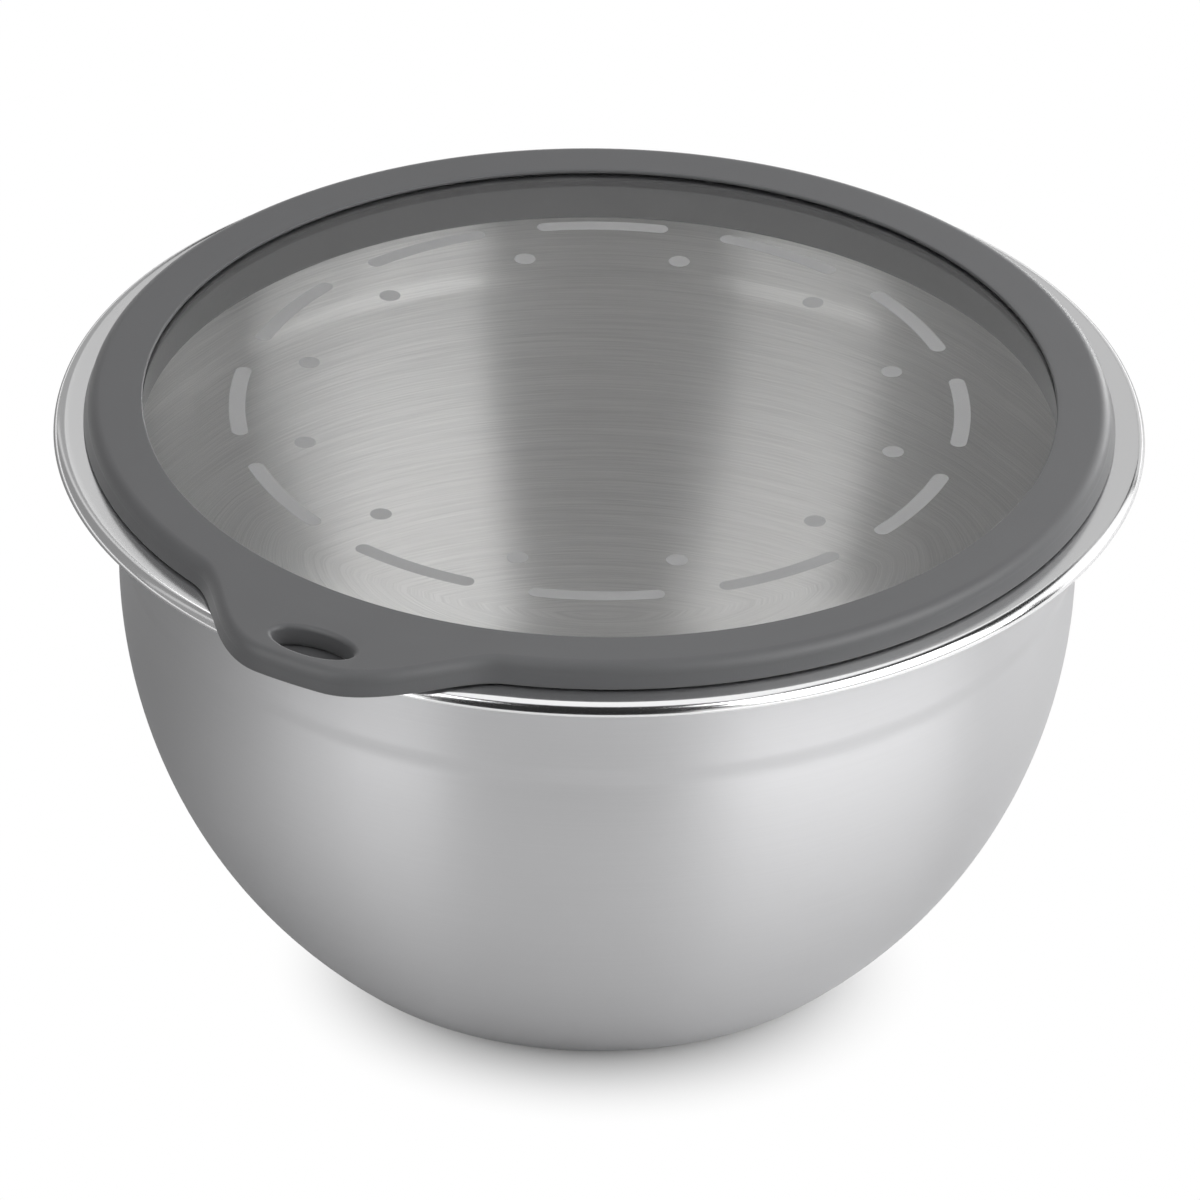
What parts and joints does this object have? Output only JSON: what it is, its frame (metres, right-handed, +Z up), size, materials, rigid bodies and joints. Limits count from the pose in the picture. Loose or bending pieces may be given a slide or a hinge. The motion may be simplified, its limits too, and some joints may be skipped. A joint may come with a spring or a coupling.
{
  "type": "mixing bowl with lid",
  "caption": "Round steel mixing bowl with a flat base and a wide rolled rim, closed by a clear glass lid in a soft grey moulded rim with a pull tab and a finger hole.",
  "frame": {"origin": "middle of the base's flat underside, on the bowl's axis", "axes": "+Z up the bowl's axis towards the lid, -Y towards the lid's pull tab"},
  "size_m": [0.265, 0.2771, 0.1434],
  "materials": {
    "steel": "satin stainless steel outside, brushed round its axis inside, polished on the rim",
    "glass": "clear toughened glass",
    "silicone": "matt grey moulded silicone",
    "print": "pale grey fired print on the glass"
  },
  "bodies": {
    "bowl": {"bowl_body": "steel"},
    "lid": {"lid_pane": "glass", "lid_rim": "silicone"}
  },
  "joints": [
    {"name": "lid_lift", "type": "slide", "parent": "bowl", "child": "lid", "axis": [0, 0, 1], "range_m": [0, 0.25]}
  ]
}
